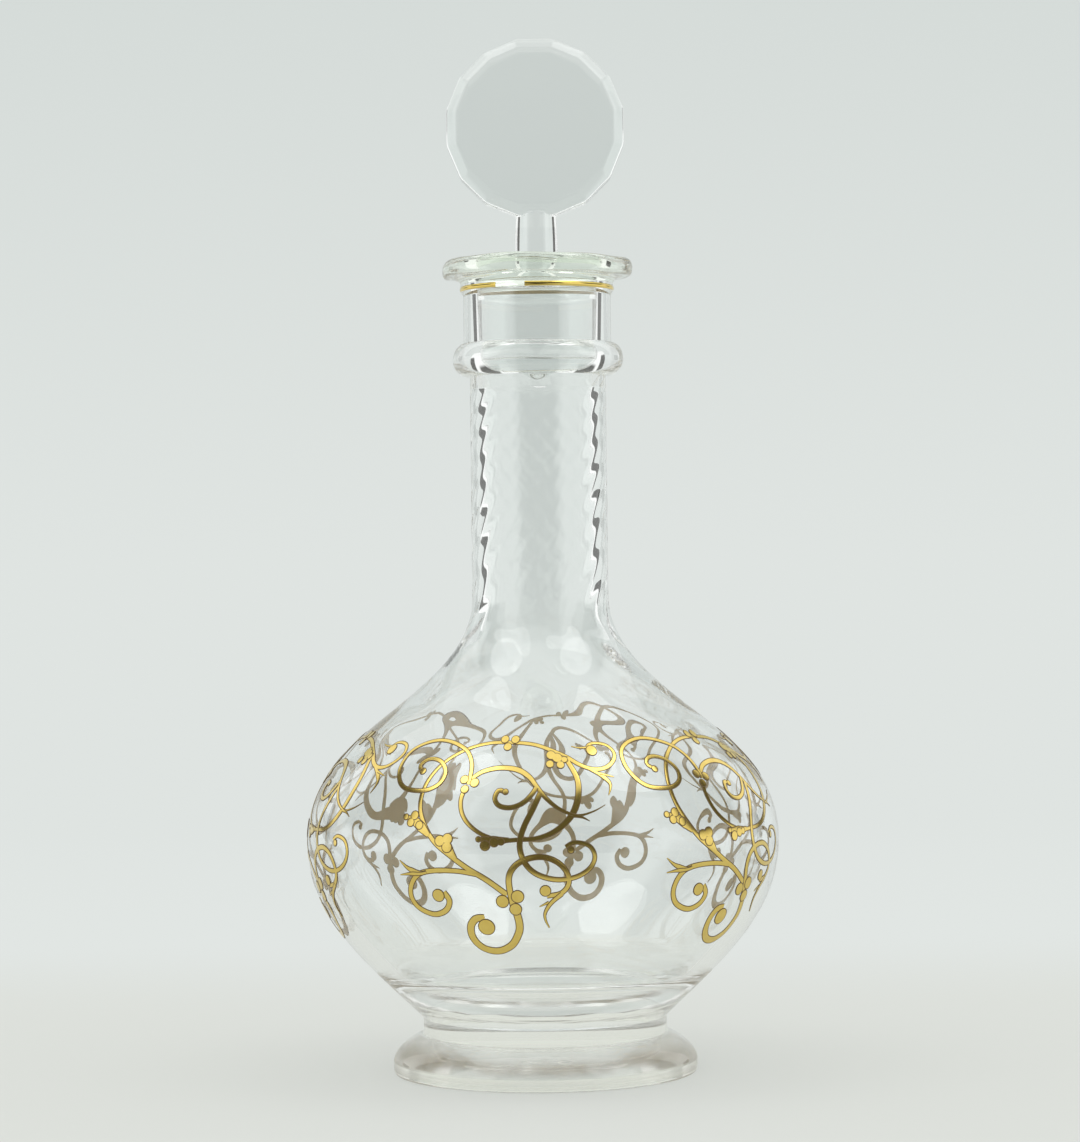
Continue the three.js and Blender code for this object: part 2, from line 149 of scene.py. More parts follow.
thick_crystal = plain("thick_crystal", (1, 1, 0.95), 0, Transmission_Weight=1, IOR=crystal_index)
ground_base = plain("ground_base", (1, 1, 0.94), 0.2, Transmission_Weight=1, IOR=crystal_index)
# Light passes straight on where two pieces of glass are fused
fused_seam = plain("fused_seam", (1, 1, 1), 0, Transmission_Weight=1, IOR=1)

foot_profile = [
    *sweep((0, pontil_depth), (pontil_radius / 2, pontil_depth), (pontil_radius, 0)),
    *sweep((foot_radius - foot_edge_round, 0), (foot_radius, 0), (foot_radius, foot_edge_round), steps=6),
    *sweep(
        (foot_radius, foot_rim_height),
        (foot_radius - foot_crown_inset, foot_rim_height + foot_crown),
        (foot_top_radius, foot_top - fused_gap),
        steps=16,
    ),
    Vector((waist_radius, foot_top - fused_gap)),
    Vector((0, foot_top - fused_gap)),
]
foot = turned("foot_glass", foot_profile)
foot.data.materials.append(thick_crystal)
fuse(foot, lambda radius, height: height > foot_top - 2 * fused_gap and radius < waist_radius)
foot.data.materials.append(ground_base)
for face in foot.data.polygons:
    if face.normal.z < facing_down:
        face.material_index = 2
belongs(foot, "carafe", "clear_glass", "foot")

# Body
# Bulb, neck and collar blown as one bubble of clear crystal, a few millimetres thick with a heavy floor.
# The neck was blown into a ribbed mould and twisted while hot, so its ribs wind up to the right.
body_base = foot_top
body_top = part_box("carafe_body")[1].z
ring_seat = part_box("neck_ring")[0].z
ring_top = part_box("neck_ring")[1].z
waist_height = 4.8 * mm
waist_top = body_base + waist_height
flare_run = 17.2 * mm
flare_rise = 16.7 * mm
bulb_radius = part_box("carafe_body")[1].x
lower_bulb_height = 51.3 * mm
lower_bulb_pull = 22 * mm
upper_bulb_pull = 16 * mm
widest = waist_top + lower_bulb_height
shoulder_height = 36.4 * mm
shoulder = widest + shoulder_height
shoulder_radius = 45 * mm
shoulder_slope = math.radians(38)
shoulder_sweep = 16.5 * mm
neck_sweep_height = 34 * mm
neck_sweep = 14 * mm
neck_bottom = shoulder + neck_sweep_height
ring_step_height = 0.7 * mm
neck_top = ring_seat - ring_step_height
neck_radius = 19.8 * mm
bore_radius = 15.6 * mm
bulb_wall = 4.6 * mm
shoulder_wall = 2.2 * mm
neck_wall = neck_radius - bore_radius
floor_thickness = 14 * mm
floor = body_base + floor_thickness
bowl_height = 6 * mm
collar_radius = 21.5 * mm
band_radius = 22.2 * mm
band_height = 2.2 * mm
band_flare = 1 * mm
plug_bottom = 203 * mm
plug_tip = 4.5 * mm
plug_top_radius = 17.7 * mm
plug_bottom_radius = 16.5 * mm
plug_length = 28 * mm
plug_slope = (plug_top_radius - plug_bottom_radius) / plug_length
plug_clearance = 0.3 * mm
rib_count = 18
lines_per_rib = 12
rib_depth = 0.1 * mm
rib_depth_top = 0.06 * mm
rib_fade = 15 * mm
rib_fade_top = 5 * mm
rib_turn = math.radians(165)
rib_turn_early = 0.75
rib_mean = 0.7
rib_sway = 0.3
rib_sway_rounds = 2
rib_sway_rise = 5 * mm
neck_rows = 100
ripple = 0.2 * mm
# Each wave: rounds about the axis, rise in which it turns by one radian, start angle
ripple_waves = ((9, 3 * mm, 0), (-6, 3.6 * mm, 1))
inside_margin = 1 * mm
crystal = plain("crystal", (0.985, 0.995, 0.99), 0, Transmission_Weight=1, IOR=crystal_index)

slope = Vector((-math.cos(shoulder_slope), math.sin(shoulder_slope)))
shoulder_point = Vector((shoulder_radius, shoulder))
lower_bulb = sweep(
    (waist_radius, waist_top),
    (waist_radius + flare_run, waist_top + flare_rise),
    (bulb_radius, widest - lower_bulb_pull),
    (bulb_radius, widest),
    steps=50,
)
upper_bulb = sweep(
    (bulb_radius, widest),
    (bulb_radius, widest + upper_bulb_pull),
    shoulder_point - slope * shoulder_sweep,
    shoulder_point,
    steps=50,
)
neckward = sweep(
    shoulder_point,
    shoulder_point + slope * shoulder_sweep,
    (neck_radius, neck_bottom - neck_sweep),
    (neck_radius, neck_bottom),
    steps=50,
)


def inset(points, walls):
    """The points of an outside moved into the glass by the wall at each of them."""
    moved = []
    for i, (here, wall) in enumerate(zip(points, walls)):
        along = (points[min(i + 1, len(points) - 1)] - points[max(i - 1, 0)]).normalized()
        moved.append(here + Vector((-along.y, along.x)) * wall)
    return moved


def smoothstep(low, high, value):
    """A soft step from 0 at low to 1 at high."""
    share = min(max((value - low) / (high - low), 0), 1)
    return share * share * (3 - 2 * share)


neck_row = (neck_top - neck_bottom) / neck_rows
neck = [Vector((neck_radius, neck_bottom + neck_row * row)) for row in range(1, neck_rows + 1)]
socket_bottom_radius = plug_bottom_radius + plug_clearance
socket_top_radius = socket_bottom_radius + plug_slope * (body_top - plug_bottom)
outer_bulb = [*lower_bulb, *upper_bulb[1:], *neckward[1:]]
# Heights between which the wall thins towards the shoulder and thickens again towards the neck
thinning = (widest + 10 * mm, shoulder + 14 * mm)
thickening = (shoulder + 10 * mm, neck_bottom)
walls = [
    bulb_wall + (shoulder_wall - bulb_wall) * smoothstep(*thinning, point.y)
    + (neck_wall - shoulder_wall) * smoothstep(*thickening, point.y)
    for point in outer_bulb
]
inner_wall = [point for point in inset(outer_bulb, walls) if point.y > floor + bowl_height]
wall_slope = (inner_wall[1] - inner_wall[0]).normalized()
bowl_pull = inner_wall[0] - wall_slope * ((inner_wall[0].y - floor) / wall_slope.y)
cavity = [
    *sweep((0, floor), bowl_pull, inner_wall[0], steps=14),
    *inner_wall[1:],
    Vector((bore_radius, plug_bottom - plug_tip)),
    Vector((socket_bottom_radius, plug_bottom)),
    Vector((socket_top_radius, body_top)),
]
body_profile = [
    Vector((0, body_base)),
    Vector((waist_radius, body_base)),
    *outer_bulb,
    *neck,
    Vector((collar_radius, ring_seat)),
    Vector((collar_radius, ring_top)),
    Vector((collar_radius, body_top - band_height - band_flare)),
    Vector((band_radius, body_top - band_height)),
    Vector((band_radius, body_top)),
    *reversed(cavity),
]
outer_heights = [point.y for point in outer_bulb]


def shaped(place):
    """Raises the neck's outside into winding ribs, and leaves slow ripples inside the shoulder."""
    radius = math.hypot(place.x, place.y)
    if radius == 0:
        return place
    around = math.atan2(place.y, place.x)
    outside = outer_bulb[min(bisect_left(outer_heights, place.z), len(outer_bulb) - 1)].x
    if radius < outside - inside_margin:
        strength = smoothstep(widest, shoulder, place.z) * (1 - smoothstep(*thickening, place.z))
        waves = [math.sin(rounds * around + place.z / rise + start) for rounds, rise, start in ripple_waves]
        swell = ripple * strength * sum(waves)
    else:
        strength = smoothstep(neck_bottom - rib_fade, neck_bottom, place.z)
        strength *= 1 - smoothstep(neck_top - rib_fade_top, neck_top, place.z)
        climb = (place.z - neck_bottom) / (neck_top - neck_bottom)
        turn = rib_turn * (rib_turn_early * climb + (1 - rib_turn_early) * climb * climb)
        depth = rib_depth + (rib_depth_top - rib_depth) * min(max(climb, 0), 1)
        hand = rib_mean + rib_sway * math.sin(rib_sway_rounds * around + place.z / rib_sway_rise)
        swell = depth * hand * strength * math.cos(rib_count * (around - turn))
    grown = (radius + swell) / radius
    return Vector((place.x * grown, place.y * grown, place.z))


body = turned("body_glass", body_profile, segments=rib_count * lines_per_rib, shape=shaped)
body.data.materials.append(crystal)


def body_joint(radius, height):
    """True under the bulb on the foot, behind the ring and on the rim that carries the lip."""
    on_foot = height < body_base + fused_gap and radius < waist_radius
    behind_ring = neck_top < height < ring_top and radius > neck_radius
    under_lip = height > body_top - fused_gap
    return on_foot or behind_ring or under_lip


fuse(body, body_joint)
belongs(body, "carafe", "clear_glass", "carafe_body")

# Neck ring
# A thick trail of molten crystal wound once round the foot of the collar, left uneven by the fire.
# It is fused to the collar and to the top of the neck.
ring_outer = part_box("neck_ring")[1].y
ring_middle = (neck_top + ring_top) / 2
ring_reach = ring_outer - collar_radius
ring_unevenness = 0.15 * mm
# Waves of an uneven rim: rounds about the axis, start angle, share
rise_waves = ((3, 0.6, 1), (7, 2, 0.6))
spread_waves = ((5, 1, 1),)
ring_start = Vector((neck_radius + fused_gap, neck_top))
ring_step = Vector((collar_radius + fused_gap, ring_seat))
ring_end = Vector((collar_radius + fused_gap, ring_top))
ring_round = 0.55


def uneven(fixed_radius, reach, amount):
    """A shape function that leaves a turned rim uneven, the more the further it stands out."""
    def shape(place):
        radius = math.hypot(place.x, place.y)
        around = math.atan2(place.y, place.x)
        freedom = min(max((radius - fixed_radius) / reach, 0), 1)
        rise = sum(share * math.sin(rounds * around + start) for rounds, start, share in rise_waves)
        spread = sum(share * math.sin(rounds * around + start) for rounds, start, share in spread_waves)
        grown = 1 + amount * freedom * spread / radius
        return Vector((place.x * grown, place.y * grown, place.z + amount * freedom * rise))
    return shape


ring_profile = [
    ring_start,
    *sweep(
        ring_start,
        (ring_start.x + ring_round * (ring_outer - ring_start.x), neck_top),
        (ring_outer, ring_middle - ring_round * (ring_middle - neck_top)),
        (ring_outer, ring_middle),
        steps=12,
    )[1:],
    *sweep(
        (ring_outer, ring_middle),
        (ring_outer, ring_middle + ring_round * (ring_top - ring_middle)),
        (ring_end.x + ring_round * (ring_outer - ring_end.x), ring_top),
        ring_end,
        steps=12,
    )[1:],
    ring_step,
    ring_start,
]
ring = turned("neck_ring_glass", ring_profile, shape=uneven(collar_radius, ring_reach, ring_unevenness))
ring.data.materials.append(crystal)


def ring_joint(radius, height):
    """True on the side of the ring that lies on the neck and the collar."""
    climb = min(max((height - neck_top) / (ring_seat - neck_top), 0), 1)
    return radius < ring_start.x + (ring_step.x - ring_start.x) * climb + fused_gap


fuse(ring, ring_joint)
belongs(ring, "carafe", "clear_glass", "neck_ring")

# Lip
# A heavy rim of slightly green glass laid on the collar, flared by hand and rounded in the fire.
# Its underside is fused to the collar, and its inside carries on the taper of the socket.
lip_bottom = body_top + fused_gap
lip_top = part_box("lip_rim")[1].z
lip_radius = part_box("lip_rim")[1].y
lip_rim_round = 2.6 * mm
lip_lean = 0.6 * mm
lip_rise = 2 * mm
lip_fullness = 1 * mm
lip_unevenness = 0.3 * mm
mouth_flare = 2 * mm
mouth_radius = socket_bottom_radius + plug_slope * (lip_top - plug_bottom)
lip_side = lip_radius - lip_rim_round
lip_reach = lip_radius - band_radius
lip_glass = plain("lip_glass", (0.93, 0.975, 0.9), 0, Transmission_Weight=1, IOR=crystal_index)
lip_profile = [
    Vector((socket_top_radius, lip_bottom)),
    Vector((band_radius, lip_bottom)),
    *sweep(
        (band_radius, lip_bottom),
        (band_radius + lip_lean, lip_bottom + lip_rise),
        (lip_side + lip_fullness, lip_top - 2 * lip_rim_round),
        steps=10,
    )[1:],
    *sweep(
        (lip_side + lip_fullness, lip_top - 2 * lip_rim_round),
        (lip_radius, lip_top - 2 * lip_rim_round),
        (lip_radius, lip_top),
        (lip_side, lip_top),
        steps=16,
    )[1:],
    *sweep(
        (mouth_radius + mouth_flare, lip_top),
        (mouth_radius, lip_top),
        (mouth_radius, lip_top - mouth_flare),
    ),
    Vector((socket_top_radius, lip_bottom)),
]
lip = turned("lip_glass_rim", lip_profile, shape=uneven(band_radius, lip_reach, lip_unevenness))
lip.data.materials.append(lip_glass)
fuse(lip, lambda radius, height: height < lip_bottom + fused_gap)
belongs(lip, "carafe", "lip_glass", "lip_rim")

# Gilt line
# A line of liquid gold brushed onto the band under the lip, dried to a low bead and fired on.
# It leaves off for a short way at the front left.
line_low, line_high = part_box("gilt_neck_line")
gilt_seat = -0.03 * mm
line_spread = 0.4 * mm
line_swell = 0.25 * mm
line_steps = 6
line_segments = 170
line_gap_from = math.radians(-32)
line_gap_to = math.radians(-9)
front = math.radians(-90)
grain_scale = 450
grain_detail = 4


def fired(name, pale, deep, smoothest, roughest, metallic):
    """A fired paint whose colour and polish vary in fine patches, as brushed on by hand."""
    material = plain(name, pale, smoothest, Metallic=metallic)
    nodes = material.node_tree.nodes
    links = material.node_tree.links
    shader = nodes["Principled BSDF"]
    place = nodes.new("ShaderNodeTexCoord")
    grain = nodes.new("ShaderNodeTexNoise")
    grain.inputs["Scale"].default_value = grain_scale
    grain.inputs["Detail"].default_value = grain_detail
    tint = nodes.new("ShaderNodeMix")
    tint.data_type = "RGBA"
    tint.inputs["A"].default_value = (*pale, 1)
    tint.inputs["B"].default_value = (*deep, 1)
    polish = nodes.new("ShaderNodeMapRange")
    polish.inputs["To Min"].default_value = smoothest
    polish.inputs["To Max"].default_value = roughest
    links.new(place.outputs["Object"], grain.inputs["Vector"])
    links.new(grain.outputs["Fac"], tint.inputs["Factor"])
    links.new(grain.outputs["Fac"], polish.inputs["Value"])
    links.new(tint.outputs["Result"], shader.inputs["Base Color"])
    links.new(polish.outputs["Result"], shader.inputs["Roughness"])
    return material


gilding = fired("gilding", (0.88, 0.68, 0.21), (0.76, 0.54, 0.13), smoothest=0.1, roughest=0.24, metallic=1)
gilt_back = fired("gilt_back", (1, 0.84, 0.56), (0.94, 0.7, 0.4), smoothest=0.6, roughest=0.8, metallic=0)
line_top = line_high.z + line_spread
line_section = sweep(
    (band_radius + gilt_seat, line_low.z),
    (band_radius + 2 * line_swell, (line_low.z + line_top) / 2),
    (band_radius + gilt_seat, line_top),
    steps=line_steps,
)
bm = bmesh.new()
section = bm.faces.new([bm.verts.new((radius, 0, height)) for radius, height in line_section])
bmesh.ops.rotate(bm, matrix=Matrix.Rotation(front + line_gap_to, 3, "Z"), verts=bm.verts)
bmesh.ops.spin(
    bm,
    geom=[section, *section.edges, *section.verts],
    axis=(0, 0, 1),
    angle=math.tau + line_gap_from - line_gap_to,
    steps=line_segments,
)
bmesh.ops.holes_fill(bm, edges=bm.edges)
gilt_line = finished("gilt_line", bm)
gilt_line.data.materials.append(gilding)
gilt_line.data.materials.append(gilt_back)
for face in gilt_line.data.polygons:
    if math.hypot(face.center.x, face.center.y) < band_radius:
        face.material_index = 1
belongs(gilt_line, "carafe", "gilding", "gilt_neck_line")

# Gilt scrolls
# Six vine motifs painted round the bulb in liquid gold over a brown outline, then fired on.
# Each stroke lies a hair above the glass, and its brown back shows through the far side of the bulb.
# The motif is drawn in millimetres on the unrolled bulb, with 0, 0 at the front on the widest girth.
stroke_step = 0.7
stroke_lanes = 6
fewest_rows = 4
handle_share = 1 / 6
outline_width = 0.24
outline_most = 0.45
dome = 0.03
dot_crown = 0.35
gilt_seat_flat = gilt_seat / mm
gilt_edge = 0.08
layer_count = 3
layer_step = 0.035
motif_left = -50.6
motif_width = 76.6
motif_gap = 0.8 * mm
motif_start = math.radians(-43)
motif_sectors = (64.8, 64.2, 55.6, 55.6, 55.6, 64.2)
gilt_outline = plain("gilt_outline", (0.12, 0.07, 0.02), 0.6)
# Each stroke: its widths from start to end, and the points that it runs through
strokes = [
    # Lower left scroll, its bud end last, and the two points of its leaf
    ([1.5, 1.9], [
        (-18.5, -4.3), (-24, -3.5), (-31, -3.6), (-35.6, -4.8), (-38.2, -7.7), (-38.8, -11.2),
        (-36.9, -14.4), (-32.3, -16.2), (-28.3, -14.9), (-26.7, -12), (-28.2, -9.5),
    ]),
    ([1.2, 1.6, 0.3], [(-33, -4), (-35, -4.4), (-38.8, -3.2), (-41.6, -1.1)]),
    ([1, 1.3, 0.3], [(-33, -4.2), (-35, -4.6), (-38.4, -4.7), (-41.6, -5.1)]),
    # Heavy curl at the bottom
    ([2.3, 2.6, 2.3], [
        (-7.5, -14.8), (-6.8, -18.6), (-7.2, -21.7), (-9.6, -25.8), (-14, -28), (-18.6, -27.1),
        (-21.3, -23.9), (-21.5, -20), (-19.6, -17.3), (-16.8, -16.9),
    ]),
    # Branch that turns over to its own bud, with the hanging leaf
    ([1.9, 1.5], [
        (-8.3, -13.2), (-9.2, -6), (-7.8, -2.4), (-4.4, -0.2), (0.2, 0.4), (4.2, -1.1), (6.7, -3.9),
        (7.2, -7), (5.2, -9.6), (1.2, -10.4),
    ]),
    ([1.5, 1.2, 0.4], [(5.4, -9.8), (2.4, -12.4), (0.7, -15.3), (0.8, -17.6), (1.9, -20)]),
    ([1, 0.3], [(1.8, -12.2), (-0.9, -13.5)]),
    # Stem down from the arch into the lower right loop
    ([1.7, 1.6, 1.2], [
        (-0.4, 18.2), (-2.4, 13.7), (-4.7, 9.1), (-5.9, 5.3), (-5.9, 2), (-4.4, -1.6), (-1.4, -4.3),
        (3.6, -5.8), (8.9, -5.3), (12.9, -3), (14.4, 0.2), (12.9, 3.2), (8.9, 4.2), (6.4, 3),
    ]),
    # Small curl inside the arch
    ([1.5, 1.5], [
        (-10.8, 18.6), (-12.6, 19.2), (-13.6, 16.8), (-12.2, 14.6), (-8.9, 14), (-5.4, 15.3),
        (-2.9, 17.8), (-1.5, 20),
    ]),
    # Loop from the second trefoil round to the vine
    ([1.5, 1.2, 1.3, 2, 1.8], [
        (-23.2, 19.4), (-23.8, 16.2), (-22.9, 12.4), (-20.5, 9.2), (-16.5, 6.5), (-11.5, 5),
        (-6.4, 5.1), (-1.2, 5.5), (3.4, 7.2), (7.4, 10.4), (9.8, 14.2), (11, 19), (10.8, 23.4),
        (8.4, 29.2),
    ]),
    # Arch from the second trefoil to its two leaf points
    ([1.5, 2, 1.2, 0.2], [
        (-22, 22.6), (-18.6, 25.2), (-13.2, 26.5), (-7.7, 25.9), (-3.8, 23.5), (-1.3, 20.1),
        (1.6, 16.4), (5.2, 13.4), (9.9, 11.6), (14.4, 12.5), (18.4, 14.4),
    ]),
    ([1.2, 0.2], [(8.8, 11.6), (11.4, 11), (13.4, 9.9)]),
    # Right leaf and its spur
    ([0.9, 1.7, 0.3], [(14.3, 26.2), (18.4, 23.8), (20.8, 21.2), (20.7, 19.2), (19.8, 17.2)]),
    ([1, 0.3], [(18.4, 24.2), (22.6, 22.9)]),
    # Round scroll at the upper left
    ([1.5, 1.5], [
        (-39.8, 25.2), (-41.7, 26.8), (-40.3, 28.9), (-37.1, 29.4), (-33.6, 28), (-31.2, 24.8),
        (-31.8, 21.4), (-34.9, 19.2), (-39.2, 18.7), (-44.2, 19.5), (-47.7, 22.3), (-49.8, 26.8),
        (-49.2, 31.8), (-45.5, 34.9), (-39.5, 36.5), (-33, 35.7), (-27.1, 33.2), (-24.2, 30.2),
        (-22.6, 26.3), (-22.3, 21),
    ]),
    # Main vine, from the third trefoil up and over to the curl at the right, with its thin tail
    ([1.8, 1.5, 1.4, 1.7, 1.2], [
        (-9.8, -10), (-15.3, -5.9), (-20.3, -3), (-25.6, 0.6), (-30.3, 4.1), (-33.6, 8.2),
        (-36.1, 12.9), (-36.9, 17.5), (-36.3, 22.2), (-33.9, 27.2), (-29.8, 31.2), (-24.3, 34.2),
        (-17.5, 35.8), (-9, 35.8), (-2.4, 35), (3.2, 32.9), (8.4, 30.2), (12.5, 27.3), (16.5, 25.7),
        (20.8, 26.1), (24.2, 28.6), (25.3, 31.6), (23.6, 34.2), (20.2, 35.2), (17.2, 34.8),
        (15.8, 33),
    ]),
    ([1, 0.3], [(16.2, 33.6), (13.3, 33.5), (10.6, 34.1)]),
    # Bodies of the leaves along the vine and the loop
    ([1.6, 3, 2.6, 1.2], [(-32.4, 6), (-35.2, 8.4), (-37.8, 10.1), (-40.6, 10.9)]),
    ([3.4, 3, 1.6], [(-28.6, 4.8), (-26.8, 3), (-24.2, -0.2)]),
    ([1.6, 3, 2.6], [(9, 29.4), (6, 29.6), (3.2, 30.4)]),
    ([1.4, 2.6, 1.2], [(-9, 5), (-13.4, 4.9), (-17.6, 5.3)]),
]
# Each dot: its middle and its radius
dots = [
    # Buds
    ((-29.9, -10.5), 1.9), ((-16.6, -19.8), 2.6), ((0.8, -8.9), 1.65), ((7.8, 2.2), 1.05),
    ((-10.6, 18.7), 1), ((-39.6, 25), 1.2), ((17.5, 32.4), 2),
    # Leaves along the vine and the loop
    ((-40.5, 10.9), 1), ((-38.6, 9.4), 1.3), ((-37.6, 11.4), 1.4), ((-35.6, 8.7), 1.3),
    ((-28.8, 4.6), 1.6), ((-26.5, 5.2), 1.6), ((-26.6, 2.9), 1.6), ((3.3, 30.9), 1.7),
    ((2.8, 27.7), 1.4), ((6.2, 27.4), 1.4), ((5.3, 29.9), 1.8), ((7.6, 29.2), 1.2),
    ((-17.5, 5.2), 0.9), ((-15.6, 3.5), 1.5), ((-13.1, 4.4), 1.4), ((-11.2, 4.6), 1.1),
    # Trefoils
    ((-13.3, 37.1), 1.6), ((-9.4, 37), 1.65), ((-11.8, 34.2), 1.55), ((-24, 22.5), 1.45),
    ((-20.5, 21.5), 1.5), ((-23.2, 19.4), 1.35), ((-11.2, -11.9), 1.9), ((-6.9, -10.5), 1.9),
    ((-7.6, -14.2), 1.85),
]


def smooth_path(points, step):
    """Even steps along a smooth curve through the points, each a place and a direction."""
    knots = [Vector(point) for point in points]
    fine = [knots[0]]
    for i, (start, end) in enumerate(zip(knots, knots[1:])):
        before = knots[max(i - 1, 0)]
        after = knots[min(i + 2, len(knots) - 1)]
        leave = start + (end - before) * handle_share
        arrive = end - (after - start) * handle_share
        fine += sweep(start, leave, arrive, end, steps=12)[1:]
    length = [0]
    for start, end in zip(fine, fine[1:]):
        length.append(length[-1] + (end - start).length)
    count = max(round(length[-1] / step), fewest_rows)
    path = []
    for row in range(count + 1):
        run = length[-1] * row / count
        at = min(max(bisect_left(length, run), 1), len(fine) - 1)
        share = (run - length[at - 1]) / (length[at] - length[at - 1])
        path.append((fine[at - 1].lerp(fine[at], share), (fine[at] - fine[at - 1]).normalized()))
    return path


def close_below(bm, faces):
    """Gives a sheet of gilding brown sides and a back just inside the glass, and adds it to the motif."""
    made = bmesh.ops.extrude_face_region(bm, geom=faces, use_keep_orig=True)["geom"]
    for item in made:
        if isinstance(item, bmesh.types.BMVert):
            item.co.z = gilt_seat_flat
        if isinstance(item, bmesh.types.BMFace):
            item.material_index = 2
    scrap = bpy.data.meshes.new("scrap")
    bm.to_mesh(scrap)
    bm.free()
    motif.from_mesh(scrap)
    bpy.data.meshes.remove(scrap)


def paint_stroke(widths, points, layer):
    """Lays one tapering, slightly domed stroke on the unrolled bulb."""
    bm = bmesh.new()
    path = smooth_path(points, stroke_step)
    rows = len(path) - 1
    made = bmesh.ops.create_grid(bm, x_segments=stroke_lanes, y_segments=rows, size=0.5)["verts"]
    faces = list({face for vertex in made for face in vertex.link_faces})
    inner_lanes = 1 - 2 / stroke_lanes
    for face in faces:
        face.material_index = 1 if 2 * abs(face.calc_center_median().x) > inner_lanes else 0
    for vertex in made:
        share = vertex.co.y + 0.5
        middle, along = path[round(share * rows)]
        place = share * (len(widths) - 1)
        first = min(int(place), len(widths) - 2)
        width = widths[first] + (widths[first + 1] - widths[first]) * (place - first)
        gold = 1 - min(2 * outline_width / width, outline_most)
        lane = 2 * vertex.co.x
        across = lane if abs(lane) > 1 - 1 / stroke_lanes else lane * gold / inner_lanes
        side = Vector((-along.y, along.x)) * across * width / 2
        rise = gilt_edge + layer * layer_step + dome * (1 - across * across) * min(width, 1)
        vertex.co = (middle.x + side.x, middle.y + side.y, rise)
    close_below(bm, faces)


def paint_dot(middle, radius, layer):
    """Lays one domed dot with a dark rim on the unrolled bulb."""
    bm = bmesh.new()
    made = bmesh.ops.create_circle(bm, cap_ends=True, radius=radius, segments=24)["verts"]
    cap = made[0].link_faces[0]
    rim_width = min(outline_width, radius * outline_most)
    crown_width = radius * dot_crown
    rim = bmesh.ops.inset_region(bm, faces=[cap], use_boundary=True, thickness=rim_width)["faces"]
    crown = bmesh.ops.inset_region(bm, faces=[cap], use_boundary=True, thickness=crown_width)["faces"]
    faces = [cap, *rim, *crown]
    for face in faces:
        face.material_index = 1 if face in rim else 0
    for vertex in {vertex for face in faces for vertex in face.verts}:
        share = vertex.co.xy.length / radius
        vertex.co.z = gilt_edge + layer * layer_step + dome * (1 - share * share)
        vertex.co.x += middle[0]
        vertex.co.y += middle[1]
    close_below(bm, faces)


motif = bmesh.new()
for order, (widths, points) in enumerate(strokes):
    paint_stroke(widths, points, order % layer_count)
for middle, radius in dots:
    paint_dot(middle, radius, layer_count)
flat_motif = bpy.data.meshes.new("flat_motif")
motif.to_mesh(flat_motif)
motif.free()

meridian = [*lower_bulb, *upper_bulb[1:]]
climbed = [0]
for start, end in zip(meridian, meridian[1:]):
    climbed.append(climbed[-1] + (end - start).length)
girth = climbed[len(lower_bulb) - 1]


def on_bulb(angle, climb, rise):
    """Point at an angle round the bulb, a climb up its side from the widest girth, a rise off the glass."""
    at = min(max(bisect_left(climbed, girth + climb), 1), len(meridian) - 1)
    share = (girth + climb - climbed[at - 1]) / (climbed[at] - climbed[at - 1])
    here = meridian[at - 1].lerp(meridian[at], share)
    along = (meridian[min(at + 1, len(meridian) - 1)] - meridian[at - 2]).normalized()
    radius = here.x + along.y * rise
    return Vector((radius * math.sin(angle), -radius * math.cos(angle), here.y - along.x * rise))


gap_angle = motif_gap / bulb_radius
motif_angle = motif_start
for number, sector in enumerate(motif_sectors, start=1):
    bm = bmesh.new()
    bm.from_mesh(flat_motif)
    room = math.radians(sector) - gap_angle
    for vertex in bm.verts:
        angle = motif_angle + gap_angle / 2 + room * (vertex.co.x - motif_left) / motif_width
        vertex.co = on_bulb(angle, vertex.co.y * mm, vertex.co.z * mm)
    scroll = finished(f"gilt_vine_{number}", bm)
    for material in (gilding, gilt_outline, gilt_back):
        scroll.data.materials.append(material)
    belongs(scroll, "carafe", "gilding", f"gilt_scroll_{number}")
    motif_angle += math.radians(sector)
bpy.data.meshes.remove(flat_motif)

# Stopper
# One solid piece of crystal: a ground, tapered plug with a drawn tip, a short stem and a flat disc.
# The disc's edge is cut into sixteen facets, with a broad cut bevel round both faces.
plug_top = plug_bottom + plug_length
plug_edge = 1.2 * mm
tip_flat = 2 * mm
tip_radius = 6 * mm
tip_drop = 1.5 * mm
stem_radius = 6.3 * mm
stem_top_radius = 5.6 * mm
stem_fillet = 3.4 * mm
disc_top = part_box("stopper")[1].z
disc_facets = 16
disc_radius = 26.2 * mm
disc_thickness = 14 * mm
disc_bevel_width = 3.2 * mm
disc_bevel_depth = 2.4 * mm
cut_edge_round = 0.7 * mm
disc_reach = disc_radius * math.cos(math.pi / disc_facets)
disc_middle = disc_top - disc_reach
disc_bottom = disc_middle - disc_reach
stem_top = disc_bottom + disc_bevel_width
stopper_profile = [
    *sweep(
        (0, plug_bottom - plug_tip),
        (tip_flat, plug_bottom - plug_tip),
        (tip_radius, plug_bottom - tip_drop),
    ),
    *sweep(
        (tip_radius, plug_bottom - tip_drop),
        (plug_bottom_radius, plug_bottom),
        (plug_bottom_radius + plug_slope * plug_edge, plug_bottom + plug_edge),
        steps=12,
    )[1:],
    *sweep(
        (plug_top_radius - plug_slope * plug_edge, plug_top - plug_edge),
        (plug_top_radius, plug_top),
        (plug_top_radius - plug_edge, plug_top),
        steps=5,
    ),
    *sweep(
        (stem_radius + stem_fillet, plug_top),
        (stem_radius, plug_top),
        (stem_radius, plug_top + stem_fillet),
        steps=12,
    ),
    *sweep(
        (stem_radius, plug_top + stem_fillet),
        (stem_radius, disc_bottom - stem_fillet),
        (stem_top_radius, stem_top),
        steps=16,
    )[1:],
    Vector((0, stem_top)),
]
stopper = turned("stopper_glass", stopper_profile)
half_facet = Matrix.Rotation(math.pi / disc_facets, 4, "Z")
